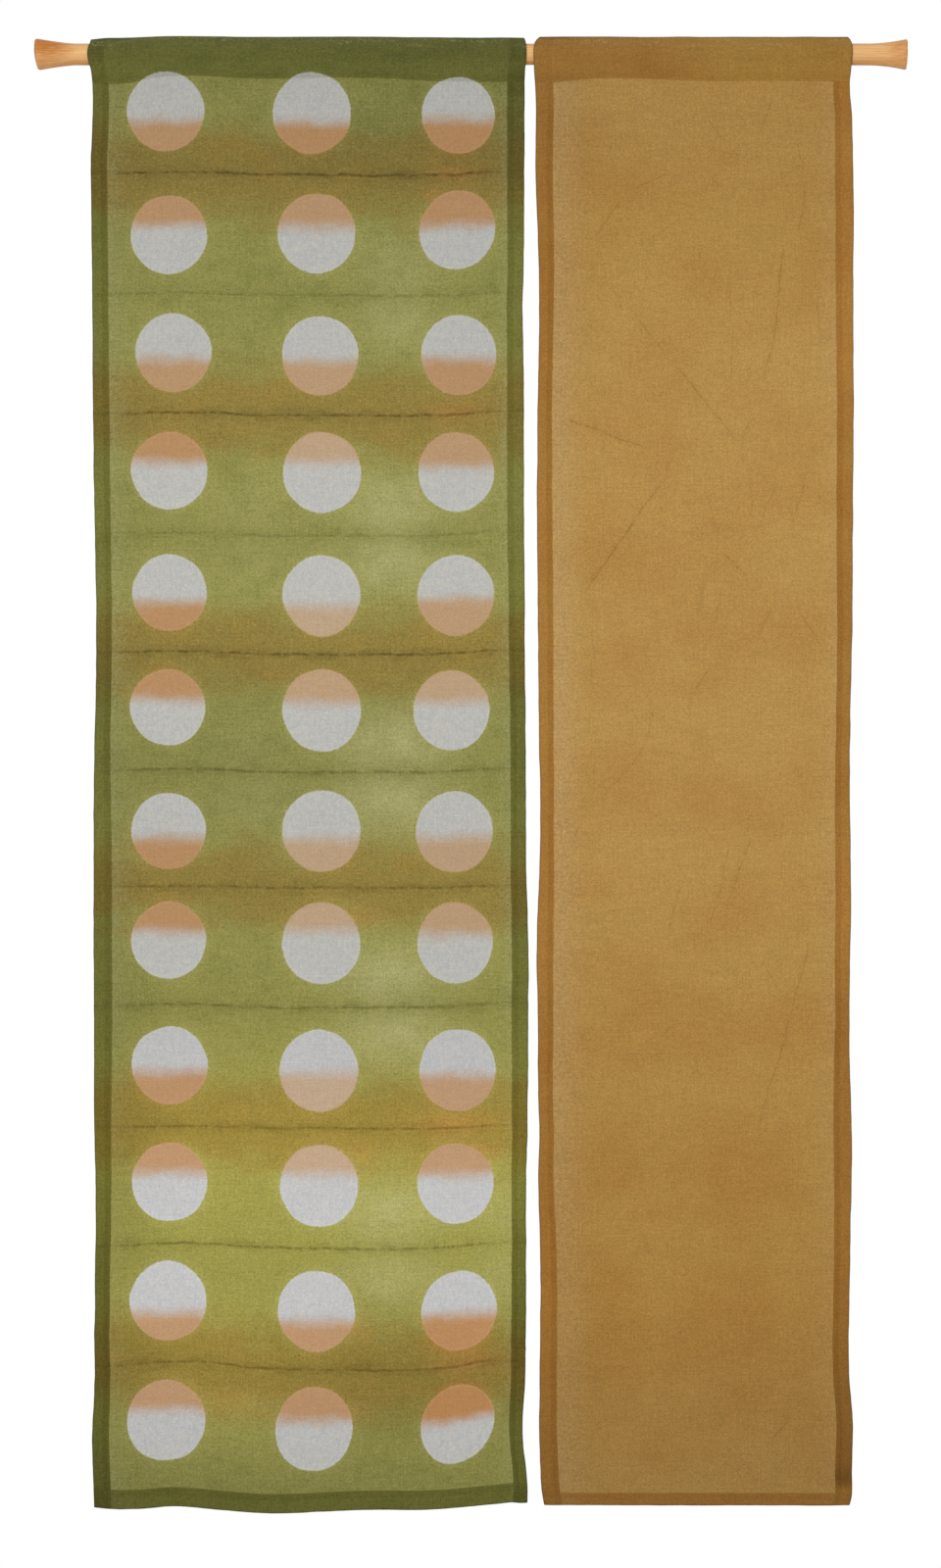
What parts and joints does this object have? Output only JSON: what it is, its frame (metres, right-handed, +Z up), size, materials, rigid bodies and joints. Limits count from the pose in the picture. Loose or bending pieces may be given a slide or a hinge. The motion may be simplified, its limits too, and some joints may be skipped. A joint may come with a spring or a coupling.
{
  "type": "noren curtain on a wooden rod",
  "caption": "Hanging doorway curtain: a wide dyed and dotted cloth panel beside a narrower plain one, both threaded on a turned rod with flared ends.",
  "frame": {"origin": "the middle of the rod's length, on the rod's axis", "axes": "+X along the rod to the plain panel's side, +Z up, and -Y towards the viewer, out of the cloth's dyed face"},
  "size_m": [0.892, 0.0306, 1.5063],
  "materials": {
    "turned_wood": "pale tan hardwood with an even satin finish, a little darker at the turned edges",
    "green_cloth": "matte plain-weave cloth, fold-dyed olive green with brown bands, each round dot half white and half peach",
    "ochre_cloth": "matte plain-weave cloth in an even, slightly cloudy ochre"
  },
  "bodies": {
    "root": {"rod": "turned_wood", "panel_left": "green_cloth", "panel_right": "ochre_cloth"}
  },
  "joints": []
}
